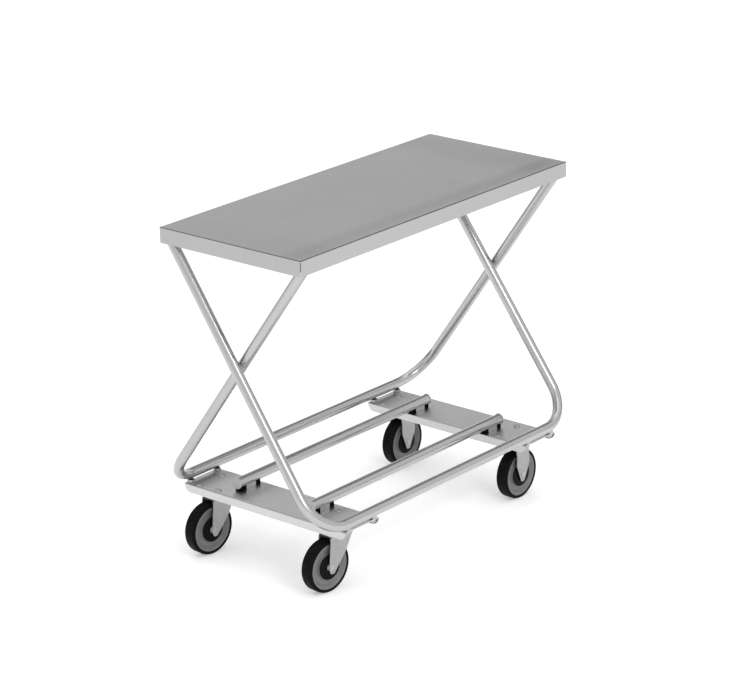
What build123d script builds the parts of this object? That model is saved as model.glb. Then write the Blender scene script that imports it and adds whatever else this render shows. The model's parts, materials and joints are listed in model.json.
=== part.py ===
"""Tubular X-frame stocking cart with a flat sheet deck, two base channels and four casters.

The origin is on the floor under the middle of the deck. +X runs along the cart from the swivel
casters to the rigid casters, +Y to the left, +Z up. All sizes are in millimetres.
"""
import os
from math import cos, radians, sin, tan

from build123d import *

os.makedirs("parts", exist_ok=True)

# ---------------------------------------------------------------- driving dimensions
# deck
deck_length = 988.0
deck_width = 424.0
deck_height = 832.0
deck_sheet = 1.5
skirt_depth = 38.0
corner_slit = 1.6
deck_edge_radius = 2.2

# ribs under the deck, and how the legs meet them
rib_depth = 22.0
rib_width = 52.0
rib_sheet = 2.0
deck_fit_gap = 0.3
leg_plate_margin = 0.5
leg_plate_width = 61.0
leg_plate_thickness = 3.0
leg_bolt_spacing = 28.0
leg_bolt_offset = 160.0
leg_side_gap = 1.6
leg_section_stretch = 1.25

# frame tubes
tube_diameter = 25.4
tube_wall = 1.6
bend_radius = 92.0
rail_height = 185.0
outer_rail_offset = 247.0
leg_splay = 11.5
leg_overrun = 0.04
crossing_gap = 0.4
weld_radius = 9.0
weld_length = 8.0

# inner rails
inner_rail_offset = 114.6
inner_rail_length = 714.0
inner_rail_middle = -7.0
plug_flange_diameter = 27.6
plug_flange_thickness = 3.0
plug_spigot_length = 18.0

# base channels
channel_offset = 342.0
channel_length = 500.0
channel_width = 120.0
channel_depth = 21.5
channel_sheet = 2.5
channel_top = 166.0
channel_corner_radius = 20.0
channel_edge_radius = 3.5

# fasteners: hexagon widths are across the flats
bolt_diameter = 8.0
bolt_hole_clearance = 0.3
nut_flats = 13.0
nut_height = 6.5
hex_head_height = 5.3
round_head_radius = 8.5
round_head_height = 2.6
leg_bolt_end = 2.0
caster_bolt_end = 12.5
stud_end = 4.0
inner_spacer_flats = 22.0
outer_spacer_flats = 17.0
inner_stud_inset = 22.0
outer_stud_spacing = 92.0
outer_stud_offset = 242.0

# casters
swivel_caster_x = -351.0
rigid_caster_x = 336.0
caster_side_offset = 182.0
wheel_diameter = 127.0
plate_length = 95.0
plate_width = 85.0
plate_corner_radius = 6.0
plate_thickness = 3.5
plate_bolt_spacing_x = 80.0
plate_bolt_spacing_y = 60.0
swivel_trail = 41.5
swivel_angle = -5.5
swivel_tip_radius = 5.0
swivel_leg_below = [(-48, -5.5), (-43, -17.5), (-32, -17.5), (5, 26.5), (18, 51.5)]
swivel_leg_above = [(28, -14), (35, 0), (-32, 0), (-41.5, -14)]
rigid_axle_setback = 2.0
rigid_tip_radius = 6.0
rigid_leg_below = [(-25.5, 25.5), (-8, -18.5), (4, -18.5), (25, 26.5)]
rigid_leg_above = [(20, -19), (24, 0), (-30, 0), (-25.5, -27)]
fork_gap = 36.0
fork_sheet = 2.8
fork_bend_radius = 6.0
swivel_crown_top = 146.0
crown_radius = 36.0
kingpin_radius = 6.0
kingpin_head_radius = 11.0
kingpin_head_height = 4.0
race_radius = 27.0
race_width = 14.0
race_lip = 2.0
race_lip_drop = 6.0
ball_radius = 4.0
ball_count = 18

# wheels: half widths are measured along the axle from the middle of the wheel
axle_radius = 4.5
axle_head_radius = 7.0
axle_head_height = 0.8
sleeve_radius = 7.5
bushing_radius = 10.0
hub_radius = 22.0
hub_half_width = 13.8
web_inner_radius = 31.0
web_edge = 11.5
web_half_width = 7.5
rim_edge = 4.5
rim_half_width = 14.0
tread_thickness = 8.0
tread_half_width = 16.0
tread_shoulder = 5.5
guard_radius = 31.0
guard_thickness = 2.2

# fits
running_clearance = 0.05
seat_clearance = 0.05
moving_gap = 0.4
hub_end_gap = 0.8

# ---------------------------------------------------------------- derived positions
tube_radius = tube_diameter / 2
deck_underside = deck_height - deck_sheet
rib_bottom = deck_underside - rib_depth
rib_centre = deck_length / 2 - deck_sheet - deck_fit_gap - rib_width / 2
leg_end_height = rib_bottom - leg_plate_thickness
leg_plate_edge = deck_width / 2 - deck_sheet - 2 * deck_fit_gap
outer_leg_top = deck_length / 2 - deck_sheet - deck_fit_gap - tube_radius
leg_end_offset = deck_width / 2 - deck_sheet - leg_side_gap - leg_section_stretch * tube_radius
inner_leg_top = outer_leg_top - tube_diameter - crossing_gap
channel_underside = channel_top - channel_sheet
rail_underside = rail_height - tube_radius - seat_clearance
plate_underside = channel_underside - plate_thickness
axle_height = wheel_diameter / 2
core_radius = axle_height - tread_thickness
web_outer_radius = core_radius - web_edge
rim_inner_radius = core_radius - rim_edge
fork_half_width = fork_gap / 2 + fork_sheet
bolt_hole_radius = bolt_diameter / 2 + bolt_hole_clearance


# ---------------------------------------------------------------- helpers
def finish(part, node):
    """Label a finished piece and write it as one STEP file named after its node."""
    part.label = node
    export_step(part, f"parts/{node}.step")


def quarters(x, y):
    """The point (x, y) and its mirror images in the other three quarters."""
    return [(x, y), (-x, y), (-x, -y), (x, -y)]


def hexagon(flats):
    """A regular hexagon given by its width across the flats."""
    RegularPolygon(radius=flats / 2, side_count=6, major_radius=False)


def make_pins(node, points, bottom, top):
    """Plain round shanks between two heights at all the points, with no heads."""
    with BuildPart() as pins:
        with BuildSketch(Plane.XY.offset(bottom)):
            with Locations(*points):
                Circle(bolt_diameter / 2)
        extrude(amount=top - bottom)
    finish(pins.part, node)


def make_hex_rings(node, points, flats, bottom, height):
    """Nuts or spacers: hexagons with a clearance bore at all the points."""
    with BuildPart() as rings:
        with BuildSketch(Plane.XY.offset(bottom)):
            with Locations(*points):
                hexagon(flats)
                Circle(bolt_diameter / 2 + seat_clearance, mode=Mode.SUBTRACT)
        extrude(amount=height)
        chamfer(rings.edges().filter_by(GeomType.LINE).group_by(Axis.Z)[0], length=0.6)
    finish(rings.part, node)


# ---------------------------------------------------------------- deck
def make_deck_pan():
    """A folded pan: flat top, a skirt along each side, an open slit down each corner."""
    skirt_bottom = deck_height - skirt_depth
    with BuildPart() as deck_pan:
        with BuildSketch(Plane.XY.offset(skirt_bottom)):
            Rectangle(deck_length, deck_width)
        extrude(amount=skirt_depth)
        fillet(deck_pan.edges().group_by(Axis.Z)[-1], radius=deck_edge_radius)
        with BuildSketch(Plane.XY.offset(skirt_bottom)):
            Rectangle(deck_length - 2 * deck_sheet, deck_width - 2 * deck_sheet)
        extrude(amount=skirt_depth - deck_sheet, mode=Mode.SUBTRACT)
        with BuildSketch(Plane.XY.offset(skirt_bottom)):
            for x, y in quarters(deck_length / 2, deck_width / 2):
                with Locations(Location((x, y), 45 if x * y > 0 else -45)):
                    Rectangle(8 * deck_sheet, corner_slit)
        extrude(amount=skirt_depth - deck_sheet - deck_edge_radius, mode=Mode.SUBTRACT)
    finish(deck_pan.part, "deck_pan")


def leg_bolt_points(side):
    """Two bolts beside each of the two leg ends at one end of the cart."""
    half = leg_bolt_spacing / 2
    xs = (side * rib_centre - half, side * rib_centre + half)
    return [(x, y) for x in xs for y in (-leg_bolt_offset, leg_bolt_offset)]


def make_deck_rib(node, side):
    """A channel across the deck's underside, open at the top, that takes the leg ends."""
    rib_end = deck_width / 2 - deck_sheet - deck_fit_gap
    with BuildPart() as deck_rib:
        with BuildSketch(Plane.XZ.offset(-rib_end)):
            with Locations((side * rib_centre, rib_bottom + rib_depth / 2)):
                Rectangle(rib_width, rib_depth)
            with Locations((side * rib_centre, rib_bottom + rib_depth / 2 + rib_sheet)):
                Rectangle(rib_width - 2 * rib_sheet, rib_depth, mode=Mode.SUBTRACT)
        extrude(amount=2 * rib_end)
        with BuildSketch(Plane.XY.offset(rib_bottom)):
            with Locations(*leg_bolt_points(side)):
                Circle(bolt_hole_radius)
        extrude(amount=rib_sheet, mode=Mode.SUBTRACT)
    finish(deck_rib.part, node)


def make_leg_top_plate(node, side, across):
    """The flat plate on one leg end, drilled for its two bolts."""
    plate_middle = across * (leg_plate_edge - leg_plate_width / 2)
    bolts = [(x, y) for x, y in leg_bolt_points(side) if y * across > 0]
    with BuildPart() as leg_top_plate:
        with BuildSketch(Plane.XY.offset(leg_end_height)):
            with Locations((side * rib_centre, plate_middle)):
                Rectangle(rib_width - 2 * leg_plate_margin, leg_plate_width)
            with Locations(*bolts):
                Circle(bolt_hole_radius, mode=Mode.SUBTRACT)
        extrude(amount=leg_plate_thickness)
    finish(leg_top_plate.part, node)


def make_leg_plate_bolts(points):
    """Hexagon bolts pushed up through the leg plates and the ribs."""
    nut_top = rib_bottom + rib_sheet + nut_height
    with BuildPart() as leg_plate_bolts:
        with BuildSketch(Plane.XY.offset(leg_end_height - hex_head_height)):
            with Locations(*points):
                hexagon(nut_flats)
        extrude(amount=hex_head_height)
        with BuildSketch(Plane.XY.offset(leg_end_height)):
            with Locations(*points):
                Circle(bolt_diameter / 2)
        extrude(amount=nut_top + leg_bolt_end - leg_end_height)
    finish(leg_plate_bolts.part, "leg_plate_bolts")


make_deck_pan()
make_deck_rib("deck_rib_swivel_end", -1)
make_deck_rib("deck_rib_rigid_end", 1)
make_leg_top_plate("leg_top_plate_swivel_left", -1, 1)
make_leg_top_plate("leg_top_plate_swivel_right", -1, -1)
make_leg_top_plate("leg_top_plate_rigid_left", 1, 1)
make_leg_top_plate("leg_top_plate_rigid_right", 1, -1)
all_leg_bolts = leg_bolt_points(-1) + leg_bolt_points(1)
make_leg_plate_bolts(all_leg_bolts)
make_hex_rings("leg_plate_nuts", all_leg_bolts, nut_flats, rib_bottom + rib_sheet, nut_height)


# ---------------------------------------------------------------- frame tubes
def leg_line(side, across, outer):
    """Foot and top of one leg: it leans inwards and rises from one side to the other."""
    top_x = outer_leg_top if outer else inner_leg_top
    foot = Vector(side * (top_x + leg_splay), -across * outer_rail_offset, rail_height)
    top = Vector(side * top_x, across * leg_end_offset, leg_end_height)
    return foot, top + (top - foot) * leg_overrun


def make_frame_tube(node, facing):
    """One tube bent twice: a base rail with an outer leg at one end and an inner at the other."""
    outer_foot, outer_top = leg_line(-facing, facing, True)
    inner_foot, inner_top = leg_line(facing, facing, False)
    corners = [outer_top, outer_foot, inner_foot, inner_top]
    with BuildPart() as frame_tube:
        with BuildLine() as centreline:
            start = outer_top
            for before, corner, after in zip(corners, corners[1:], corners[2:]):
                into = (corner - before).normalized()
                away = (after - corner).normalized()
                half_turn = radians(into.get_angle(away)) / 2
                setback = bend_radius * tan(half_turn)
                inward = (away - into).normalized()
                middle = corner + inward * bend_radius * (1 / cos(half_turn) - 1)
                Line(start, corner - into * setback)
                ThreePointArc(corner - into * setback, middle, corner + away * setback)
                start = corner + away * setback
            Line(start, inner_top)
        with BuildSketch(Plane(origin=outer_top, z_dir=outer_foot - outer_top)):
            Circle(tube_radius)
            Circle(tube_radius - tube_wall, mode=Mode.SUBTRACT)
        sweep(path=centreline.line)
        split(bisect_by=Plane.XY.offset(leg_end_height - seat_clearance), keep=Keep.BOTTOM)
    finish(frame_tube.part, node)


def make_cross_weld(node, side):
    """The weld bead in the notch where an outer leg passes an inner leg."""
    outer_foot, outer_top = leg_line(side, -side, True)
    inner_foot, inner_top = leg_line(side, side, False)
    share = outer_rail_offset / (outer_rail_offset + leg_end_offset)
    height = rail_height + share * (leg_end_height - rail_height)
    middle_x = (outer_leg_top + inner_leg_top) / 2 + leg_splay * (1 - share)
    with BuildPart() as cross_weld:
        with BuildSketch(Plane.YZ.offset(side * middle_x - weld_length / 2)):
            with Locations((0, height)):
                Circle(weld_radius)
        extrude(amount=weld_length)
        for foot, top in ((outer_foot, outer_top), (inner_foot, inner_top)):
            with BuildSketch(Plane(origin=foot, z_dir=top - foot)):
                Circle(tube_radius + seat_clearance)
            extrude(amount=(top - foot).length, mode=Mode.SUBTRACT)
    finish(cross_weld.part, node)


make_frame_tube("frame_tube_right", 1)
make_frame_tube("frame_tube_left", -1)
make_cross_weld("leg_cross_weld_swivel_end", -1)
make_cross_weld("leg_cross_weld_rigid_end", 1)


# ---------------------------------------------------------------- inner rails
def make_inner_rail(node, y):
    """A straight carrying tube along the cart."""
    with BuildPart() as inner_rail:
        with BuildSketch(Plane.YZ.offset(inner_rail_middle - inner_rail_length / 2)):
            with Locations((y, rail_height)):
                Circle(tube_radius)
                Circle(tube_radius - tube_wall, mode=Mode.SUBTRACT)
        extrude(amount=inner_rail_length)
    finish(inner_rail.part, node)


def make_rail_end_plugs():
    """Flanged caps pushed into the four open ends of the inner rails."""
    spigot_radius = tube_radius - tube_wall - seat_clearance
    with BuildPart() as rail_end_plugs:
        for side in (-1, 1):
            end_face = inner_rail_middle + side * (inner_rail_length / 2 + seat_clearance)
            with BuildSketch(Plane.YZ.offset(end_face)):
                with Locations((-inner_rail_offset, rail_height), (inner_rail_offset, rail_height)):
                    Circle(plug_flange_diameter / 2)
            extrude(amount=side * plug_flange_thickness)
            with BuildSketch(Plane.YZ.offset(end_face)):
                with Locations((-inner_rail_offset, rail_height), (inner_rail_offset, rail_height)):
                    Circle(spigot_radius)
            extrude(amount=-side * plug_spigot_length)
        outer_faces = rail_end_plugs.faces().filter_by(Axis.X).sort_by(Axis.X)
        rims = (outer_faces[:2] + outer_faces[-2:]).edges()
        fillet(rims, radius=plug_flange_thickness / 3)
    finish(rail_end_plugs.part, "rail_end_plugs")


make_inner_rail("inner_rail_right", -inner_rail_offset)
make_inner_rail("inner_rail_left", inner_rail_offset)
make_rail_end_plugs()


# ---------------------------------------------------------------- base channels
def inner_stud_points(side):
    """One stud of a channel under each inner rail."""
    inner_x = side * (channel_offset - inner_stud_inset)
    return [(inner_x, -inner_rail_offset), (inner_x, inner_rail_offset)]


def outer_stud_points(side):
    """Two studs of a channel under each outer rail."""
    xs = [side * channel_offset + step * outer_stud_spacing / 2 for step in (-1, 1)]
    return [(x, y) for x in xs for y in (-outer_stud_offset, outer_stud_offset)]


def caster_bolt_points(x):
    """Four bolts round each of the two casters of one channel."""
    steps = quarters(plate_bolt_spacing_x / 2, plate_bolt_spacing_y / 2)
    sides = (-caster_side_offset, caster_side_offset)
    return [(x + step_x, y + step_y) for y in sides for step_x, step_y in steps]


def make_base_channel(node, side, caster_x):
    """A sheet channel open downwards, with the bottom corners of its flanges rounded off."""
    middle = side * channel_offset
    with BuildPart() as base_channel:
        with BuildSketch(Plane.YZ.offset(middle - channel_width / 2)) as side_shape:
            with Locations((0, channel_top - channel_depth / 2)):
                Rectangle(channel_length, channel_depth)
            fillet(side_shape.vertices().group_by(Axis.Y)[0], radius=channel_corner_radius)
        extrude(amount=channel_width)
        top_edges = base_channel.edges().filter_by(Axis.Y).group_by(Axis.Z)[-1]
        fillet(top_edges, radius=channel_edge_radius)
        with BuildSketch(Plane.XZ.offset(-channel_length / 2)) as hollow:
            with Locations((middle, channel_underside - channel_depth / 2)):
                Rectangle(channel_width - 2 * channel_sheet, channel_depth)
            upper = hollow.vertices().group_by(Axis.Y)[-1]
            fillet(upper, radius=channel_edge_radius - channel_sheet)
        extrude(amount=channel_length, mode=Mode.SUBTRACT)
        with BuildSketch(Plane.XY.offset(channel_underside)):
            with Locations(*inner_stud_points(side), *outer_stud_points(side)):
                Circle(bolt_hole_radius)
            with Locations(*caster_bolt_points(caster_x)):
                Circle(bolt_hole_radius)
        extrude(amount=channel_sheet, mode=Mode.SUBTRACT)
    finish(base_channel.part, node)


make_base_channel("base_channel_swivel_end", -1, swivel_caster_x)
make_base_channel("base_channel_rigid_end", 1, rigid_caster_x)
inner_studs = inner_stud_points(-1) + inner_stud_points(1)
outer_studs = outer_stud_points(-1) + outer_stud_points(1)
all_studs = inner_studs + outer_studs
stud_nut_bottom = channel_underside - nut_height
make_pins("rail_studs", all_studs, stud_nut_bottom - stud_end, rail_underside)
make_hex_rings("rail_stud_nuts", all_studs, nut_flats, stud_nut_bottom, nut_height)
spacer_height = rail_underside - channel_top
make_hex_rings("inner_spacers", inner_studs, inner_spacer_flats, channel_top, spacer_height)
make_hex_rings("outer_spacers", outer_studs, outer_spacer_flats, channel_top, spacer_height)


# ---------------------------------------------------------------- caster fasteners
def make_caster_bolts(points):
    """Low round-headed bolts dropped through the channels into the caster plates."""
    thread_end = plate_underside - nut_height - caster_bolt_end
    with BuildPart() as caster_bolts:
        with BuildSketch(Plane.XY.offset(channel_top)):
            with Locations(*points):
                Circle(round_head_radius)
        extrude(amount=round_head_height)
        fillet(caster_bolts.edges().group_by(Axis.Z)[-1], radius=round_head_height * 0.8)
        with BuildSketch(Plane.XY.offset(thread_end)):
            with Locations(*points):
                Circle(bolt_diameter / 2)
        extrude(amount=channel_top - thread_end)
    finish(caster_bolts.part, "caster_plate_bolts")


all_caster_bolts = caster_bolt_points(swivel_caster_x) + caster_bolt_points(rigid_caster_x)
make_caster_bolts(all_caster_bolts)
caster_nut_bottom = plate_underside - nut_height
make_hex_rings("caster_plate_nuts", all_caster_bolts, nut_flats, caster_nut_bottom, nut_height)


# ---------------------------------------------------------------- caster parts
class CasterFrame:
    """Planes of one caster: its turning point on the floor, its heading and its axle."""

    def __init__(self, x, y, heading, trail):
        self.forward = Vector(cos(radians(heading)), sin(radians(heading)), 0)
        self.side = Vector(-sin(radians(heading)), cos(radians(heading)), 0)
        self.foot = Vector(x, y, 0)
        self.hub = self.foot - self.forward * trail + Vector(0, 0, axle_height)

    def level(self, height):
        """A horizontal plane over the turning point."""
        return Plane(origin=self.foot + Vector(0, 0, height), x_dir=self.forward, z_dir=(0, 0, 1))

    def profile(self):
        """The upright plane along the heading."""
        return Plane(origin=self.foot, x_dir=self.forward, z_dir=-self.side)

    def section(self):
        """The upright plane across the heading."""
        return Plane(origin=self.foot, x_dir=self.side, z_dir=self.forward)

    def across(self, distance):
        """A plane square to the axle, the given distance out from the middle of the wheel."""
        return Plane(origin=self.hub + self.side * distance, x_dir=self.forward, z_dir=self.side)

    def spin(self):
        """A plane for wheel profiles: along the axle first, then up the radius."""
        return Plane(origin=self.hub, x_dir=self.side, z_dir=self.forward)

    def axle(self):
        """The axle line."""
        return Axis(self.hub, self.side)


def add_plate_outline():
    """The drilled rectangle of a caster plate, on the sketch plane in use."""
    RectangleRounded(plate_length, plate_width, plate_corner_radius)
    with Locations(*quarters(plate_bolt_spacing_x / 2, plate_bolt_spacing_y / 2)):
        Circle(bolt_hole_radius, mode=Mode.SUBTRACT)


def make_swivel_plate(node, x, y):
    """Drilled plate with the upper ball race and its dust lip pressed out underneath."""
    race_bottom = swivel_crown_top + 2 * ball_radius + seat_clearance + moving_gap
    lip_bottom = plate_underside - race_lip_drop - (race_bottom - swivel_crown_top) / 2
    race_outer = race_radius + race_width / 2
    with BuildPart() as swivel_plate:
        with BuildSketch(Plane.XY.offset(plate_underside)):
            with Locations((x, y)):
                add_plate_outline()
        extrude(amount=plate_thickness - seat_clearance)
        with BuildSketch(Plane.XY.offset(race_bottom)):
            with Locations((x, y)):
                Circle(race_outer - race_lip)
                Circle(race_radius - race_width / 2, mode=Mode.SUBTRACT)
        extrude(amount=plate_underside - race_bottom)
        with BuildSketch(Plane.XY.offset(lip_bottom)):
            with Locations((x, y)):
                Circle(race_outer)
                Circle(race_outer - race_lip, mode=Mode.SUBTRACT)
        extrude(amount=plate_underside - lip_bottom)
        with BuildSketch(Plane.XY.offset(plate_underside)):
            with Locations((x, y)):
                Circle(kingpin_radius + seat_clearance)
        extrude(amount=plate_thickness, mode=Mode.SUBTRACT)
    finish(swivel_plate.part, node)


def make_kingpin(node, x, y):
    """The rivet that hangs the fork from the plate, with its head inside the fork."""
    head_top = swivel_crown_top - fork_sheet - moving_gap
    with BuildPart() as kingpin:
        with BuildSketch(Plane.XY.offset(head_top - kingpin_head_height)):
            with Locations((x, y)):
                Circle(kingpin_head_radius)
        extrude(amount=kingpin_head_height)
        fillet(kingpin.edges().group_by(Axis.Z)[0], radius=kingpin_head_height / 3)
        with BuildSketch(Plane.XY.offset(head_top)):
            with Locations((x, y)):
                Circle(kingpin_radius)
        extrude(amount=channel_underside - seat_clearance - head_top)
    finish(kingpin.part, node)


def make_race_balls(node, x, y):
    """The ring of bearing balls that rolls on the fork's crown."""
    height = swivel_crown_top + ball_radius + seat_clearance
    with BuildPart() as race_balls:
        with Locations((x, y, height)):
            with PolarLocations(race_radius, ball_count):
                Sphere(ball_radius)
    finish(race_balls.part, node)


def fork_shell(frame, top, below, above, tip_radius):
    """A folded fork: a U across the wheel, trimmed to its leg outline and bored for the axle.

    Points below are counted from the axle's height, points above from the top of the fork.
    """
    height = top - axle_height / 2
    outline = [(x, axle_height + z) for x, z in below] + [(x, top + z) for x, z in above]
    with BuildPart() as shell:
        with BuildSketch(frame.profile()) as legs:
            Polygon(*outline, align=None)
            fillet(legs.vertices().group_by(Axis.Y)[0], radius=tip_radius)
        extrude(amount=2 * fork_half_width, both=True)
        with BuildSketch(frame.section()) as outside:
            with Locations((0, top - height / 2)):
                Rectangle(2 * fork_half_width, height)
            shoulders = outside.vertices().group_by(Axis.Y)[-1]
            fillet(shoulders, radius=fork_bend_radius + fork_sheet)
        extrude(amount=plate_length, both=True, mode=Mode.INTERSECT)
        with BuildSketch(frame.section()) as hollow:
            with Locations((0, top - fork_sheet - height / 2)):
                Rectangle(fork_gap, height)
            fillet(hollow.vertices().group_by(Axis.Y)[-1], radius=fork_bend_radius)
        extrude(amount=plate_length, both=True, mode=Mode.SUBTRACT)
        with BuildSketch(frame.across(-fork_half_width)):
            Circle(axle_radius + seat_clearance)
        extrude(amount=2 * fork_half_width, mode=Mode.SUBTRACT)
    return shell.part


def make_swivel_fork(node, frame):
    """The turning fork: trailing legs under a round crown with the lower ball race."""
    legs = (swivel_leg_below, swivel_leg_above, swivel_tip_radius)
    shell = fork_shell(frame, swivel_crown_top, *legs)
    with BuildPart() as swivel_fork:
        add(shell)
        with BuildSketch(frame.level(swivel_crown_top - fork_sheet)):
            Circle(crown_radius)
        extrude(amount=fork_sheet)
        with BuildSketch(frame.level(swivel_crown_top - fork_sheet)):
            Circle(kingpin_radius + running_clearance)
        extrude(amount=fork_sheet, mode=Mode.SUBTRACT)
    finish(swivel_fork.part, node)


def make_rigid_fork(node, frame):
    """The fixed fork: two tapering legs folded down from its own drilled plate."""
    shell = fork_shell(frame, plate_underside, rigid_leg_below, rigid_leg_above, rigid_tip_radius)
    with BuildPart() as rigid_fork:
        add(shell)
        with BuildSketch(frame.level(plate_underside)):
            add_plate_outline()
        extrude(amount=plate_thickness - seat_clearance)
    finish(rigid_fork.part, node)


# ---------------------------------------------------------------- wheels
def make_axle(node, frame):
    """A rivet through both fork legs with low flat heads."""
    length = 2 * (fork_half_width + seat_clearance)
    with BuildPart() as axle:
        with BuildSketch(frame.across(-length / 2)):
            Circle(axle_radius)
        extrude(amount=length)
        for side in (-1, 1):
            with BuildSketch(frame.across(side * length / 2)):
                Circle(axle_head_radius)
            extrude(amount=side * axle_head_height)
    finish(axle.part, node)


def make_tube_on_axle(node, frame, inner_radius, outer_radius, half_length):
    """A plain ring round the axle, as for the sleeve and the bushing."""
    with BuildPart() as ring:
        with BuildSketch(frame.across(-half_length)):
            Circle(outer_radius)
            Circle(inner_radius, mode=Mode.SUBTRACT)
        extrude(amount=2 * half_length)
    finish(ring.part, node)


def make_wheel_core(node, frame):
    """The moulded wheel centre: a hub, a dished web and a rim."""
    bore = bushing_radius + seat_clearance
    half = [(hub_half_width, bore), (hub_half_width, hub_radius)]
    half += [(web_half_width, web_inner_radius), (web_half_width, web_outer_radius)]
    half += [(rim_half_width, rim_inner_radius), (rim_half_width, core_radius)]
    outline = half + [(-a, r) for a, r in reversed(half)]
    with BuildPart() as wheel_core:
        with BuildSketch(frame.spin()):
            Polygon(*outline, align=None)
        revolve(axis=frame.axle())
    finish(wheel_core.part, node)


def make_tyre(node, frame):
    """The rubber tread, rounded at both shoulders."""
    seat = core_radius + seat_clearance
    with BuildPart() as tyre:
        with BuildSketch(frame.spin()) as tread:
            with Locations((0, (seat + axle_height) / 2)):
                Rectangle(2 * tread_half_width, axle_height - seat)
            fillet(tread.vertices().group_by(Axis.Y)[-1], radius=tread_shoulder)
        revolve(axis=frame.axle())
    finish(tyre.part, node)


def make_thread_guards(node, frame):
    """The two discs that cover the hub on both faces of the wheel."""
    inner = hub_half_width + seat_clearance
    with BuildPart() as thread_guards:
        for side in (-1, 1):
            with BuildSketch(frame.across(side * inner)):
                Circle(guard_radius)
                Circle(bushing_radius + seat_clearance, mode=Mode.SUBTRACT)
            extrude(amount=side * guard_thickness)
    finish(thread_guards.part, node)


def make_wheel(name, frame):
    """Every piece that hangs on one axle."""
    sleeve_half = fork_gap / 2 - seat_clearance
    bushing_bore = sleeve_radius + running_clearance
    bushing_half = fork_gap / 2 - hub_end_gap
    make_axle(f"axle_{name}", frame)
    sleeve = f"axle_sleeve_{name}"
    make_tube_on_axle(sleeve, frame, axle_radius + seat_clearance, sleeve_radius, sleeve_half)
    bushing = f"hub_bushing_{name}"
    make_tube_on_axle(bushing, frame, bushing_bore, bushing_radius, bushing_half)
    make_wheel_core(f"wheel_core_{name}", frame)
    make_tyre(f"tyre_{name}", frame)
    make_thread_guards(f"thread_guards_{name}", frame)


for hand, side_y in (("right", -caster_side_offset), ("left", caster_side_offset)):
    swivel = CasterFrame(swivel_caster_x, side_y, swivel_angle, swivel_trail)
    make_swivel_plate(f"swivel_plate_{hand}", swivel_caster_x, side_y)
    make_kingpin(f"kingpin_{hand}", swivel_caster_x, side_y)
    make_race_balls(f"race_balls_{hand}", swivel_caster_x, side_y)
    make_swivel_fork(f"swivel_fork_{hand}", swivel)
    make_wheel(f"swivel_{hand}", swivel)
    rigid = CasterFrame(rigid_caster_x, side_y, 0.0, rigid_axle_setback)
    make_rigid_fork(f"rigid_fork_{hand}", rigid)
    make_wheel(f"rigid_{hand}", rigid)
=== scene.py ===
# %% [markdown]
# # A stocking cart with a flat steel deck
#
# The real cart is made of two bent tubes that cross like a folding table, a shallow pressed deck,
# two cross channels and four casters. The CAD model already has every solid at its real size, so
# Blender's work is the finish: how each metal, rubber and plastic takes the light, and the small
# shapes that a workshop leaves behind, such as weld ripples and the seam of a moulded tyre.

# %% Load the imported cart
import json
import math

import bmesh
import bpy
from mathutils import Matrix, Vector


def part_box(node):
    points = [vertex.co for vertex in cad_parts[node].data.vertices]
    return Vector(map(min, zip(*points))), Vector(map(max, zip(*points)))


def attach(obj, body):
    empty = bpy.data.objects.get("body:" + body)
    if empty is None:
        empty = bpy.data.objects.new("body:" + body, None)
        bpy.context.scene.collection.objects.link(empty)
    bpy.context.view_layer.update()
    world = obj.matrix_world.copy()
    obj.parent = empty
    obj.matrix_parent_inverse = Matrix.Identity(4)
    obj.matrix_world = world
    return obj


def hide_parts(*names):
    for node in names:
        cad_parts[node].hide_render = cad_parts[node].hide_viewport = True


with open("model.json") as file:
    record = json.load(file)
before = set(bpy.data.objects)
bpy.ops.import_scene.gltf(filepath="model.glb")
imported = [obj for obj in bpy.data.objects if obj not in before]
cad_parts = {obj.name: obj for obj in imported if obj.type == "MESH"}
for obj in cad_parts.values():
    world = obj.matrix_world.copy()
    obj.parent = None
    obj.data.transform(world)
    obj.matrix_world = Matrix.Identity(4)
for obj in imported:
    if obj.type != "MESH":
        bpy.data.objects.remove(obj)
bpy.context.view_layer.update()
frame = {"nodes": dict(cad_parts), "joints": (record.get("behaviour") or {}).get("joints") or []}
nodes = frame["nodes"]

# %% [markdown]
# ## The camera
#
# A long lens from a little above the deck flattens the perspective, so that parallel rails stay
# nearly parallel. The camera comes first, because every light depends on what the metal reflects
# into it. It could aim at an empty with a constraint. Here its three axes are worked out from an
# azimuth, an elevation and a small roll, which is exact and needs no helper object.

# %% Camera
view_degrees = (-50.231, 19.333, 0.815)
view_azimuth, view_elevation, view_roll = map(math.radians, view_degrees)
camera_back = Vector((
    math.sin(view_azimuth) * math.cos(view_elevation),
    -math.cos(view_azimuth) * math.cos(view_elevation),
    math.sin(view_elevation),
))
level_right = Vector((math.cos(view_azimuth), math.sin(view_azimuth), 0))
level_up = camera_back.cross(level_right)
camera_right = level_right * math.cos(view_roll) - level_up * math.sin(view_roll)
camera_up = level_right * math.sin(view_roll) + level_up * math.cos(view_roll)
sideways, upwards, distance = 0.00187, 0.44664, 7.42677  # metres along the camera's own axes

camera = bpy.data.objects.new("catalogue_camera", bpy.data.cameras.new("catalogue_camera"))
bpy.context.scene.collection.objects.link(camera)
turn = Matrix((camera_right, camera_up, camera_back)).transposed()
place = camera_right * sideways + camera_up * upwards + camera_back * distance
camera.matrix_world = Matrix.Translation(place) @ turn.to_4x4()
camera.data.sensor_width = 36
camera.data.lens = 146.02
camera.data.clip_end = 60
bpy.context.scene.camera = camera
print("camera stands at", [round(v, 3) for v in place])

# %% [markdown]
# ## The studio
#
# Steel shows the room more than it shows itself, so the room is designed backwards from the
# metal. The skirts and the undersides of the tubes mirror the floor, so the floor is white and
# glows a little, like a light table, which also keeps the shadows faint. The deck mirrors the air
# behind the cart. Darker patches in that air draw the thin dark line along every rail and set how
# grey the deck looks, and one softbox beside the viewer draws the bright streak down the legs.

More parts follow.
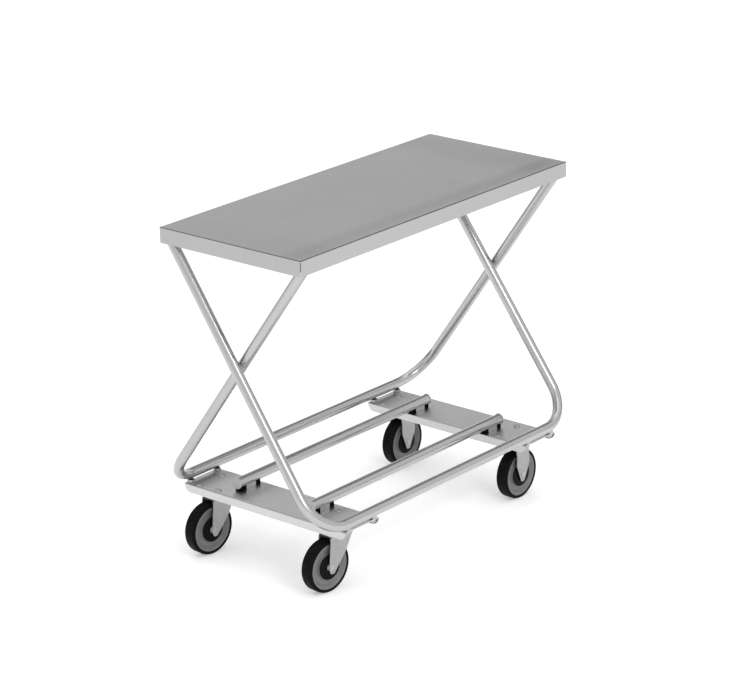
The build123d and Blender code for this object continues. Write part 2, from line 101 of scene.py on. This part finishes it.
# %% Floor
def add_floor(half, white, glow):
    """A wide flat sweep that glows a little. The tyres stand on it."""
    mesh = bpy.data.meshes.new("studio_floor")
    corners = [(-half, -half, 0), (half, -half, 0), (half, half, 0), (-half, half, 0)]
    mesh.from_pydata(corners, [], [(0, 1, 2, 3)])
    floor = bpy.data.objects.new("studio_floor", mesh)
    bpy.context.scene.collection.objects.link(floor)
    paint = bpy.data.materials.new("floor_paint")
    paint.use_nodes = True
    surface = paint.node_tree.nodes["Principled BSDF"]
    surface.inputs["Base Color"].default_value = (white, white, white, 1)
    surface.inputs["Roughness"].default_value = 0.9
    surface.inputs["Specular IOR Level"].default_value = 0.1
    surface.inputs["Emission Color"].default_value = (1, 1, 1, 1)
    surface.inputs["Emission Strength"].default_value = glow
    mesh.materials.append(paint)
    return floor


studio_floor = add_floor(half=20.0, white=0.86, glow=0.32)
print("floor:", tuple(round(v, 1) for v in studio_floor.dimensions), "metres")

# %% Air of the room
def toward(azimuth, elevation):
    """A unit vector into the room: degrees round from +x, then degrees above the floor."""
    a, e = math.radians(azimuth), math.radians(elevation)
    return Vector((math.cos(a) * math.cos(e), math.sin(a) * math.cos(e), math.sin(e)))


world = bpy.data.worlds.new("studio_air")
bpy.context.scene.world = world
world.use_nodes = True
air = world.node_tree
air.nodes.clear()
look = air.nodes.new("ShaderNodeTexCoord")
shine = air.nodes.new("ShaderNodeBackground")
air_out = air.nodes.new("ShaderNodeOutputWorld")
air.links.new(shine.outputs[0], air_out.inputs["Surface"])
open_air = 0.95


def add_patch(level, centre, inner, outer, factor):
    """Multiply a level by factor inside a round patch. Its soft rim runs from inner to outer."""
    facing = air.nodes.new("ShaderNodeVectorMath")
    facing.operation = "DOT_PRODUCT"
    facing.inputs[1].default_value = centre
    air.links.new(look.outputs["Generated"], facing.inputs[0])
    rim = air.nodes.new("ShaderNodeMapRange")
    rim.interpolation_type = "SMOOTHSTEP"
    rim.inputs["From Min"].default_value = math.cos(math.radians(outer))
    rim.inputs["From Max"].default_value = math.cos(math.radians(inner))
    rim.inputs["To Min"].default_value = 1.0
    rim.inputs["To Max"].default_value = factor
    air.links.new(facing.outputs["Value"], rim.inputs["Value"])
    product = air.nodes.new("ShaderNodeMath")
    product.operation = "MULTIPLY"
    air.links.new(rim.outputs[0], product.inputs[0])
    if isinstance(level, float):
        product.inputs[1].default_value = level
    else:
        air.links.new(level, product.inputs[1])
    return product.outputs[0]


dark_patches = {  # direction, inner and outer rim in degrees, share of the light that is left
    "high behind": (toward(22, 36), 5, 21, 0.24),
    "behind the deck": (toward(44, 19), 10, 34, 0.78),
    "low left": (toward(108, 2), 12, 34, 0.30),
    "low right": (toward(-22, 13), 4, 15, 0.40),
}
level = open_air
for patch in dark_patches.values():
    level = add_patch(level, *patch)
air.links.new(level, shine.inputs["Color"])
shine.inputs["Strength"].default_value = 1.0
print("air", open_air, "with darker patches:", list(dark_patches))

# %% Softboxes
def add_softbox(name, place, target, width, height, watts):
    """A rectangular lamp that faces its target."""
    lamp = bpy.data.lights.new(name, "AREA")
    lamp.shape = "RECTANGLE"
    lamp.size, lamp.size_y, lamp.energy = width, height, watts
    stand = bpy.data.objects.new(name, lamp)
    bpy.context.scene.collection.objects.link(stand)
    stand.location = place
    stand.rotation_euler = (Vector(target) - Vector(place)).to_track_quat("-Z", "Y").to_euler()
    return stand


cart_middle = Vector((0, 0, 0.45))
streak_distance = 4.2
streak_place = cart_middle + toward(-113, 31) * streak_distance
add_softbox("streak_softbox", streak_place, cart_middle, width=0.8, height=1.1, watts=34)
add_softbox("overhead_softbox", (0, 0, 5.0), (0, 0, 0), width=5.0, height=5.0, watts=45)
bpy.context.scene.view_settings.view_transform = "Standard"
print("streak softbox at", [round(v, 2) for v in streak_place])

# %% [markdown]
# ## Metals
#
# Rolled sheet, drawn tube and plated pressings are all steel, yet the eye tells them apart by
# their grain. Sheet has faint scratches along the rolling direction, drawn tube is smoother, and
# zinc plating has a soft cloudy mottle. One recipe serves them all: a noise stretched along the
# grain moves the roughness and lifts a very small bump, a second slow noise clouds the colour,
# and a third leaves the faint hand smudges that every handled sheet carries.

# %% Small helpers for node trees
def node(tree, kind, name=None, **settings):
    """Add a node, set its plain attributes, and name it so that a later step can find it."""
    made = tree.nodes.new("ShaderNode" + kind)
    if name:
        made.name = made.label = name
    for key, value in settings.items():
        setattr(made, key, value)
    return made


def spread(tree, value, low, high, to_low, to_high, name=None, smooth=False):
    """Stretch a value from one range to another, and hold it inside the new range."""
    made = node(tree, "MapRange", name, interpolation_type="SMOOTHSTEP" if smooth else "LINEAR")
    ends = {"From Min": low, "From Max": high, "To Min": to_low, "To Max": to_high}
    for socket, number in ends.items():
        made.inputs[socket].default_value = number
    tree.links.new(value, made.inputs["Value"])
    return made.outputs["Result"]


def combine(tree, operation, first, second, name=None):
    """One step of arithmetic. Each side is a socket or a plain number."""
    made = node(tree, "Math", name, operation=operation)
    for index, side in enumerate((first, second)):
        if isinstance(side, (int, float)):
            made.inputs[index].default_value = side
        else:
            tree.links.new(side, made.inputs[index])
    return made.outputs[0]


def noise(tree, where, scale, detail=4.0, stretch=(1, 1, 1), rough=0.6):
    """A noise value over a set of coordinates, stretched where the grain runs."""
    if stretch != (1, 1, 1):
        squeeze = node(tree, "Mapping")
        squeeze.inputs["Scale"].default_value = stretch
        tree.links.new(where, squeeze.inputs["Vector"])
        where = squeeze.outputs[0]
    made = node(tree, "TexNoise")
    made.inputs["Scale"].default_value = scale
    made.inputs["Detail"].default_value = detail
    made.inputs["Roughness"].default_value = rough
    tree.links.new(where, made.inputs["Vector"])
    return made.outputs["Fac"]


def replug(tree, socket, source):
    """Put a new source on an input that already has one."""
    for link in list(socket.links):
        tree.links.remove(link)
    tree.links.new(source, socket)


def add_relief(tree, name, height, metres_per_unit, strength=1.0):
    """Turn a height value into a tilted surface normal."""
    relief = node(tree, "Bump", name)
    relief.inputs["Strength"].default_value = strength
    relief.inputs["Distance"].default_value = metres_per_unit
    tree.links.new(height, relief.inputs["Height"])
    return relief.outputs[0]


print("helpers ready")

# %% Steel recipe
smudge_frequency = 11.0


def steel(
    name, tone, roughness, grain, grain_depth, cloud, cloud_frequency, smudge=0.10, octaves=3.0
):
    """A metal. grain is the frequency of its scratches along x, y and z, per metre.

    grain_depth is in metres. cloud and smudge are the shares that tone and gloss vary by.
    """
    paint = bpy.data.materials.new(name)
    paint.use_nodes = True
    tree = paint.node_tree
    surface = tree.nodes["Principled BSDF"]
    surface.inputs["Metallic"].default_value = 1.0
    where = node(tree, "TexCoord").outputs["Object"]
    scratches = noise(tree, where, 1.0, octaves, grain, 0.65)
    clouds = noise(tree, where, cloud_frequency)
    smudges = noise(tree, where, smudge_frequency, 3.0)
    tone_value = spread(tree, clouds, 0.3, 0.7, tone * (1 - cloud), tone * (1 + cloud), "tone")
    tree.links.new(tone_value, surface.inputs["Base Color"])
    gloss = spread(tree, scratches, 0.3, 0.7, roughness * 0.9, roughness * 1.1)
    touched = spread(tree, smudges, 0.45, 0.75, 1.0, 1.0 + smudge, smooth=True)
    tree.links.new(combine(tree, "MULTIPLY", gloss, touched, "gloss"), surface.inputs["Roughness"])
    grained = add_relief(tree, "grain relief", scratches, grain_depth)
    tree.links.new(grained, surface.inputs["Normal"])
    return paint


micron = 1e-6
rolled_deck_steel = steel(
    "rolled_deck_steel", tone=0.44, roughness=0.27, grain=(60, 1300, 1300),
    grain_depth=3 * micron, cloud=0.025, cloud_frequency=2.5, smudge=0.16,
)
folded_channel_steel = steel(
    "folded_channel_steel", tone=0.585, roughness=0.29, grain=(1300, 60, 1300),
    grain_depth=3.5 * micron, cloud=0.03, cloud_frequency=5.0, smudge=0.2,
)
hidden_frame_steel = steel(
    "hidden_frame_steel", tone=0.50, roughness=0.34, grain=(700, 90, 700),
    grain_depth=5 * micron, cloud=0.06, cloud_frequency=14.0,
)
drawn_tube_steel = steel(
    "drawn_tube_steel", tone=0.475, roughness=0.23, grain=(110, 110, 110),
    grain_depth=2.5 * micron, cloud=0.02, cloud_frequency=6.0, smudge=0.08, octaves=1.0,
)
plated_pressing = steel(
    "plated_pressing", tone=0.36, roughness=0.34, grain=(520, 520, 520),
    grain_depth=16 * micron, cloud=0.05, cloud_frequency=55.0,
)
plated_fastener = steel(
    "plated_fastener", tone=0.42, roughness=0.30, grain=(600, 600, 600),
    grain_depth=10 * micron, cloud=0.08, cloud_frequency=90.0,
)
ground_bearing_steel = steel(
    "ground_bearing_steel", tone=0.60, roughness=0.12, grain=(200, 200, 200),
    grain_depth=2 * micron, cloud=0.02, cloud_frequency=30.0,
)
scorched_weld_steel = steel(
    "scorched_weld_steel", tone=0.36, roughness=0.36, grain=(420, 420, 420),
    grain_depth=100 * micron, cloud=0.22, cloud_frequency=160.0,
)
print("metals:", [m.name for m in bpy.data.materials if "steel" in m.name or "plated" in m.name])

# %% [markdown]
# ## Bends in the sheet
#
# Where sheet is folded over a press tool, its colour is painted a shade darker along the bend.
# This is painted shade: it stands in for the dark reflection that a bend picks up from the room.
# From a few steps away it reads as a thin line round the deck. A painted edge loop would do it
# too. Here the surface's own direction finds the bend: a flat top points up, a flat side points
# outward, and only the bend lies between.

# %% Painted shade on the bends
def paint_bend_shade(paint, strength):
    """Paint shade into the colour where the surface turns from flat top to upright side. strength
    is a share.
    """
    tree = paint.node_tree
    surface = tree.nodes["Principled BSDF"]
    facing = node(tree, "SeparateXYZ")
    tree.links.new(node(tree, "NewGeometry").outputs["Normal"], facing.inputs[0])
    upness = combine(tree, "ABSOLUTE", facing.outputs["Z"], 0)
    leaves_side = spread(tree, upness, 0.10, 0.40, 0, 1, smooth=True)
    leaves_top = spread(tree, upness, 0.90, 0.99, 1, 0, smooth=True)
    bend = combine(tree, "MULTIPLY", leaves_side, leaves_top)
    keep = spread(tree, bend, 0, 1, 1, 1 - strength)
    tone = tree.nodes["tone"].outputs["Result"]
    replug(tree, surface.inputs["Base Color"], combine(tree, "MULTIPLY", tone, keep))
    print(paint.name, "bends keep", round(1 - strength, 2), "of their tone")


# Painted shade along the bends of the deck and, more faintly, of the channels.
paint_bend_shade(rolled_deck_steel, 0.72)
paint_bend_shade(folded_channel_steel, 0.35)

# %% [markdown]
# ## The deck is never quite flat
#
# A wide sheet that is folded down on four sides pulls itself into a shallow, uneven dish. The
# soft light and dark areas on the top come from it. The solid stays flat, and the surface only
# takes the light as if it were dished. A height map of two parts does it: slow waves all over,
# and a slope near each edge.

# %% Uneven deck
deck_low, deck_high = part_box("deck_pan")


def dish_sheet(paint, low, high, wave, slope):
    """Add slow waves and sloping margins under the grain of a sheet that spans low to high.

    wave and slope are heights in metres. The ends rise and fall most, the long sides least.
    """
    tree = paint.node_tree
    where = node(tree, "TexCoord").outputs["Object"]
    along = node(tree, "SeparateXYZ")
    tree.links.new(where, along.inputs[0])
    waves = noise(tree, where, 3.2, 1.0, (1, 1.5, 1))
    height = combine(tree, "MULTIPLY", waves, wave)
    margins = (  # axis, start and end of the slope, height at each
        ("X", low.x, low.x + 0.13, -slope, 0),
        ("X", high.x - 0.16, high.x, 0, slope * 1.1),
        ("Y", low.y, low.y + 0.07, -slope * 0.45, 0),
        ("Y", high.y - 0.10, high.y, 0, -slope * 0.12),
    )
    for axis, start, end, from_height, to_height in margins:
        step = spread(tree, along.outputs[axis], start, end, from_height, to_height, smooth=True)
        height = combine(tree, "ADD", height, step)
    sheet = add_relief(tree, "sheet relief", height, 1.0)
    tree.links.new(sheet, tree.nodes["grain relief"].inputs["Normal"])
    print(paint.name, "margins rise or fall by up to", round(slope * 1.1 * 1000, 2), "mm")


dish_sheet(rolled_deck_steel, deck_low, deck_high, wave=0.0014, slope=0.0052)

# %% [markdown]
# ## Moulded plastic
#
# The wheel centres are grey nylon with a fine spark-eroded texture from the mould. The hub covers
# are the same in black, and the rail plugs in pale grey. Plastic is not a mirror like metal:
# colour comes from inside it and only a thin gloss sits on top, so metal stays at zero and the
# gloss is turned down.

# %% Moulded recipe
def moulded(name, colour, roughness, speckle, depth, variation, gloss_level=0.5):
    """A plastic or rubber with a fine even texture and a little variation of tone."""
    paint = bpy.data.materials.new(name)
    paint.use_nodes = True
    tree = paint.node_tree
    surface = tree.nodes["Principled BSDF"]
    surface.inputs["Specular IOR Level"].default_value = gloss_level
    where = node(tree, "TexCoord").outputs["Object"]
    slow = noise(tree, where, 38.0, 5.0)
    blend = node(tree, "Mix", "tone", data_type="RGBA")
    blend.inputs["A"].default_value = (*[c * (1 - variation) for c in colour], 1)
    blend.inputs["B"].default_value = (*[c * (1 + variation) for c in colour], 1)
    tree.links.new(slow, blend.inputs["Factor"])
    tree.links.new(blend.outputs["Result"], surface.inputs["Base Color"])
    gloss = spread(tree, slow, 0, 1, roughness - 0.08, roughness + 0.08, "gloss")
    tree.links.new(gloss, surface.inputs["Roughness"])
    grain = add_relief(tree, "grain relief", noise(tree, where, speckle, 3.0), depth, 0.5)
    tree.links.new(grain, surface.inputs["Normal"])
    return paint


black_cover_plastic = moulded(
    "black_cover_plastic", (0.0024, 0.0024, 0.0028), roughness=0.42, speckle=1500,
    depth=40 * micron, variation=0.15, gloss_level=0.06,
)
pale_plug_plastic = moulded(
    "pale_plug_plastic", (0.42, 0.42, 0.42), roughness=0.5, speckle=1500,
    depth=40 * micron, variation=0.04,
)
print("plastics:", black_cover_plastic.name, pale_plug_plastic.name)

# %% [markdown]
# ## Wheels
#
# A tyre shows how it was moulded: a thin seam round the middle of the tread where the two halves
# of the mould met, fine rings on the side wall, and a tread scuffed a little paler by the floor.
# All of this turns round the axle, so each wheel gets its own copy of the material, laid out from
# its own axle: a distance along the axle and a distance out from it.

# %% Wheel coordinates
def around_axle(tree, centre, axis):
    """Give the distance along the axle and the distance out from it, both in metres."""
    angle = math.atan2(-axis.x, axis.y)
    unturn = Matrix.Rotation(-angle, 3, "Z")
    local = node(tree, "Mapping")
    local.inputs["Rotation"].default_value = (0, 0, -angle)
    local.inputs["Location"].default_value = -(unturn @ centre)
    tree.links.new(node(tree, "TexCoord").outputs["Object"], local.inputs["Vector"])
    parts = node(tree, "SeparateXYZ")
    tree.links.new(local.outputs[0], parts.inputs[0])
    x_squared = combine(tree, "MULTIPLY", parts.outputs["X"], parts.outputs["X"])
    z_squared = combine(tree, "MULTIPLY", parts.outputs["Z"], parts.outputs["Z"])
    out = combine(tree, "SQRT", combine(tree, "ADD", x_squared, z_squared), 0)
    return parts.outputs["Y"], out


def axle_of(wheel):
    """The spin axis of a wheel, from its joint."""
    joint = next(j for j in frame["joints"] if j["child"] == wheel)
    return Vector(joint["axis"])


wheel_names = ("swivel_left", "swivel_right", "rigid_left", "rigid_right")
wheel_bodies = {name: name.replace("_", "_wheel_") for name in wheel_names}
for name in wheel_names:
    low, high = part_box("tyre_" + name)
    axis = axle_of(wheel_bodies[name])
    print(name, "axle height", round((low.z + high.z) / 2, 4), "axis", [round(v, 3) for v in axis])

# %% Tyre rubber
def ring_relief(tree, out, pitch, depth):
    """A sine wave that goes up and down once for every pitch outward."""
    turns = combine(tree, "MULTIPLY", out, 2 * math.pi / pitch)
    return combine(tree, "MULTIPLY", combine(tree, "SINE", turns, 0), depth)


seam_height = 350 * micron
side_wall_ring_pitch = 0.0022
core_ring_pitch = 0.0016


def tyre_rubber(name, centre, axis, tread_radius):
    """Black rubber with a mould seam, side wall rings and a scuffed tread."""
    paint = moulded(
        name, (0.0028, 0.0028, 0.0032), roughness=0.56, speckle=700,
        depth=60 * micron, variation=0.25, gloss_level=0.07,
    )
    tree = paint.node_tree
    surface = tree.nodes["Principled BSDF"]
    along, out = around_axle(tree, centre, axis)
    from_middle = combine(tree, "ABSOLUTE", along, 0)
    shoulder_start, shoulder_end = tread_radius - 0.0035, tread_radius - 0.0008
    on_tread = spread(tree, out, shoulder_start, shoulder_end, 0, 1, smooth=True)
    seam = spread(tree, from_middle, 0.0003, 0.0008, 1, 0, smooth=True)
    seam = combine(tree, "MULTIPLY", combine(tree, "MULTIPLY", seam, on_tread), seam_height)
    off_tread = spread(tree, on_tread, 0, 1, 1, 0)
    rings = ring_relief(tree, out, side_wall_ring_pitch, 40 * micron)
    rings = combine(tree, "MULTIPLY", rings, off_tread)
    shape = add_relief(tree, "moulded relief", combine(tree, "ADD", seam, rings), 1.0)
    tree.links.new(shape, tree.nodes["grain relief"].inputs["Normal"])
    where = node(tree, "TexCoord").outputs["Object"]
    scuffs = spread(tree, noise(tree, where, 90.0, 6.0), 0.48, 0.68, 0, 0.55, smooth=True)
    worn = node(tree, "Mix", data_type="RGBA")
    worn.inputs["B"].default_value = (0.011, 0.011, 0.0115, 1)
    tree.links.new(combine(tree, "MULTIPLY", scuffs, on_tread), worn.inputs["Factor"])
    tree.links.new(tree.nodes["tone"].outputs["Result"], worn.inputs["A"])
    replug(tree, surface.inputs["Base Color"], worn.outputs["Result"])
    return paint


def core_plastic(name, centre, axis):
    """Grey nylon with the faint turning marks of its mould."""
    paint = moulded(
        name, (0.172, 0.173, 0.176), roughness=0.44, speckle=1500,
        depth=40 * micron, variation=0.05, gloss_level=0.4,
    )
    tree = paint.node_tree
    _, out = around_axle(tree, centre, axis)
    rings = ring_relief(tree, out, core_ring_pitch, 12 * micron)
    shape = add_relief(tree, "moulded relief", rings, 1.0)
    tree.links.new(shape, tree.nodes["grain relief"].inputs["Normal"])
    return paint


wheel_paint = {}
for name in wheel_names:
    low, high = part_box("tyre_" + name)
    centre, axis = (low + high) / 2, axle_of(wheel_bodies[name])
    tread_radius = (high.z - low.z) / 2
    wheel_paint["tyre_" + name] = tyre_rubber("tyre_rubber_" + name, centre, axis, tread_radius)
    wheel_paint["wheel_core_" + name] = core_plastic("core_nylon_" + name, centre, axis)
print("wheel finishes:", len(wheel_paint))

# %% [markdown]
# ## Dressing the CAD pieces
#
# Most solids already have the right shape, so they keep it and only change their paint. A table
# of name beginnings is easier to read, and to check, than a separate line for each node. Where
# two beginnings fit a name, the one higher up in the table wins.

# %% Paint table
paint_for = {
    "deck_pan": rolled_deck_steel,
    "deck_rib": hidden_frame_steel,
    "base_channel": folded_channel_steel,
    "leg_top_plate": hidden_frame_steel,
    "leg_cross_weld": scorched_weld_steel,
    "leg_plate": plated_fastener,
    "frame_tube": drawn_tube_steel,
    "inner_rail": drawn_tube_steel,
    "rail_end_plugs": pale_plug_plastic,
    "rail_stud": plated_fastener,
    "inner_spacers": plated_fastener,
    "outer_spacers": plated_fastener,
    "caster_plate": plated_fastener,
    "swivel_plate": plated_pressing,
    "swivel_fork": plated_pressing,
    "rigid_fork": plated_pressing,
    "kingpin": plated_fastener,
    "race_balls": ground_bearing_steel,
    "axle_sleeve": ground_bearing_steel,
    "axle_": plated_fastener,
    "hub_bushing": ground_bearing_steel,
    "thread_guards": black_cover_plastic,
}
for node_name, piece in sorted(nodes.items()):
    paint = wheel_paint.get(node_name)
    if paint is None:
        paint = paint_for[next(start for start in paint_for if node_name.startswith(start))]
    for slot in piece.material_slots:
        slot.material = paint
print("painted", len(nodes), "CAD pieces")

# %% [markdown]
# ## Welds under the deck
#
# Each leg is cut level and welded to its plate all the way round. A hand weld is a row of small
# overlapping puddles, so its outline is an ellipse with ripples. A torus would be round and
# smooth. This bead is swept along the real rim of the tube, which is read from the tube's own top
# points.

# %% Rim of each leg
frame_tubes = {"left": "frame_tube_left", "right": "frame_tube_right"}
cut_tolerance = 0.0004  # points this near the top belong to the level cut


def leg_rims(tube, steps=132):
    """For each top end of a bent tube: its centre, its two half widths and its outer rim."""
    points = [v.co for v in nodes[tube].data.vertices]
    top = max(p.z for p in points)
    rims = []
    for end in (-1, 1):
        near = [p for p in points if p.z > top - cut_tolerance and p.x * end > 0]
        centre = sum(near, Vector()) / len(near)
        widest = {}
        for p in near:
            key = round(math.degrees(math.atan2(p.y - centre.y, p.x - centre.x)) / 10)
            if key not in widest or (p - centre).length > (widest[key] - centre).length:
                widest[key] = p
        half_x = max(abs(p.x - centre.x) for p in widest.values())
        half_y = max(abs(p.y - centre.y) for p in widest.values())
        ring = []
        for i in range(steps):
            a = 2 * math.pi * i / steps
            x, y = centre.x + half_x * math.cos(a), centre.y + half_y * math.sin(a)
            ring.append(Vector((x, y, top)))
        rims.append((centre, half_x, half_y, ring))
    return rims


for tube in frame_tubes.values():
    for centre, half_x, half_y, _ in leg_rims(tube):
        half_widths = [round(half * 1e3, 1) for half in (half_x, half_y)]
        print(tube, "rim", [round(v, 4) for v in centre], "half widths mm", half_widths)

# %% Rippled bead
bead_drop = 0.0006  # keeps the bead below the plate


def mesh_piece(name, mesh, paint, smooth=False):
    """Turn a finished bmesh into a painted object in the scene."""
    bmesh.ops.recalc_face_normals(mesh, faces=mesh.faces)
    data = bpy.data.meshes.new(name)
    mesh.to_mesh(data)
    mesh.free()
    for face in data.polygons:
        face.use_smooth = smooth
    data.materials.append(paint)
    piece = bpy.data.objects.new(name, data)
    bpy.context.scene.collection.objects.link(piece)
    return piece


def weld_bead(name, ring, centre, radius=0.0023, sides=10, ripples=44):
    """A closed rippled tube along a ring of points. It sits just under the plate."""
    mesh = bmesh.new()
    loops = []
    count = len(ring)
    for i, point in enumerate(ring):
        outward = (point - centre).normalized()
        swell = 1 + 0.20 * abs(math.sin(math.pi * ripples * i / count))
        wander = 1 + 0.06 * math.sin(5.3 * i / count * 2 * math.pi + 0.7)
        reach = radius * swell * wander
        loop = []
        for k in range(sides):
            a = 2 * math.pi * k / sides
            drop = Vector((0, 0, -bead_drop - reach * 0.35 + math.sin(a) * reach * 0.8))
            loop.append(mesh.verts.new(point + outward * (math.cos(a) * reach) + drop))
        loops.append(loop)
    for i in range(count):
        here, there = loops[i], loops[(i + 1) % count]
        for k in range(sides):
            j = (k + 1) % sides
            mesh.faces.new((here[k], here[j], there[j], there[k]))
    return mesh_piece(name, mesh, scorched_weld_steel, smooth=True)


for side, tube in frame_tubes.items():
    for end, (centre, _, _, ring) in zip(("swivel", "rigid"), leg_rims(tube)):
        bead = weld_bead("leg_top_weld_" + end + "_" + side, ring, centre)
        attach(bead, "cart")
        print(bead.name, len(bead.data.vertices), "points")

# %% [markdown]
# ## Saddles under the inner rails
#
# Each inner rail is held off the channel by a bright saddle. At either end of the saddle sits a
# black block, hollowed to fit the tube. The black blocks are painted shade: they fill the gap
# under the rail, where there is only shade. A plain block would leave a wedge of light under the
# rail. The saddle is cut here as one outline, flat below and with the tube's own arc above, and
# pushed along the rail.

# %% Saddle outline
rail_low, rail_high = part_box("inner_rail_left")
rail_radius = (rail_high.z - rail_low.z) / 2
rail_axis_height = (rail_high.z + rail_low.z) / 2
channel_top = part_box("base_channel_swivel_end")[1].z
rail_gap = rail_low.z - channel_top
print("rail radius and its height over the channel, mm:",
      [round(v * 1e3, 2) for v in (rail_radius, rail_gap)])
foot_flare = 0.0006


def saddle_outline(half_width, lift=0.0001, steps=16):
    """Points across the rail, as (sideways, height): a flat foot, two sides and a hollow top."""
    radius = rail_radius + lift
    reach = math.asin(half_width / radius)
    arc = [-reach + 2 * reach * i / steps for i in range(steps + 1)]
    hollow = [
        (radius * math.sin(a), rail_axis_height - radius * math.cos(a)) for a in reversed(arc)
    ]
    foot = channel_top + lift
    return [(-half_width - foot_flare, foot), (half_width + foot_flare, foot)] + hollow


print("outline points:", len(saddle_outline(0.010)))

# %% Saddles and painted shade blocks
edge_softness = 0.0005


def push_saddle(name, start, end, rail_y, half_width, paint, slot_name):
    """One saddle solid from start to end along x, with softened edges."""
    mesh = bmesh.new()
    outline = saddle_outline(half_width)
    first, last = (
        [mesh.verts.new((x, rail_y + side, height)) for side, height in outline]
        for x in (start, end)
    )
    count = len(outline)
    for i in range(count):
        j = (i + 1) % count
        mesh.faces.new((first[i], first[j], last[j], last[i]))
    mesh.faces.new(first)
    mesh.faces.new(list(reversed(last)))
    piece = mesh_piece(name, mesh, paint)
    soften = piece.modifiers.new("softened_edges", "BEVEL")
    soften.width, soften.segments, soften.limit_method = edge_softness, 2, "ANGLE"
    soften.angle_limit = math.radians(50)
    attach(piece, "cart")
    return piece


# Black blocks at each end of a saddle: painted shade in the gap between rail and channel.
shade_block_black = moulded(
    "shade_block_black", (0.0022, 0.0022, 0.0025), roughness=0.7, speckle=900,
    depth=80 * micron, variation=0.3, gloss_level=0.04,
)
bright_saddle = steel(
    "bright_saddle", tone=0.52, roughness=0.33, grain=(420, 420, 420),
    grain_depth=12 * micron, cloud=0.05, cloud_frequency=55.0,
)
spacer_low, spacer_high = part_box("inner_spacers")
spacer_half_length = 0.0127
stud_x = (spacer_high.x - spacer_low.x) / 2 - spacer_half_length
saddle_shift = 0.007  # the saddles sit off the stud towards the swivel end
saddle_half_length = 0.0165
shade_block_start, shade_block_end = 0.0167, 0.0330
plug_clearance = 0.0015
finishes = {  # half width across the rail, paint, record slot
    "rail_saddle_": (0.0103, bright_saddle, "fastener_zinc"),
    # The two black blocks beside each saddle are painted shade under the rail.
    "rail_pad_inboard_": (0.0098, shade_block_black, "tread_rubber"),
    "rail_pad_outboard_": (0.0098, shade_block_black, "tread_rubber"),
}
for hand, rail in (("left", "inner_rail_left"), ("right", "inner_rail_right")):
    low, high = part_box(rail)
    rail_y = (low.y + high.y) / 2
    for end, sign, rail_end in (("swivel", -1, -low.x), ("rigid", 1, high.x)):
        centre_x = sign * stud_x - saddle_shift
        outer_limit = abs(rail_end) - plug_clearance
        outer_end = min(abs(centre_x) + shade_block_end, outer_limit)
        spans = {
            "rail_saddle_": (centre_x - saddle_half_length, centre_x + saddle_half_length),
            "rail_pad_inboard_": (centre_x - sign * shade_block_start, centre_x - sign * shade_block_end),
            "rail_pad_outboard_": (centre_x + sign * shade_block_start, sign * outer_end),
        }
        for part, span in spans.items():
            name = part + end + "_" + hand
            push_saddle(name, min(span), max(span), rail_y, *finishes[part])
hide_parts("inner_spacers")
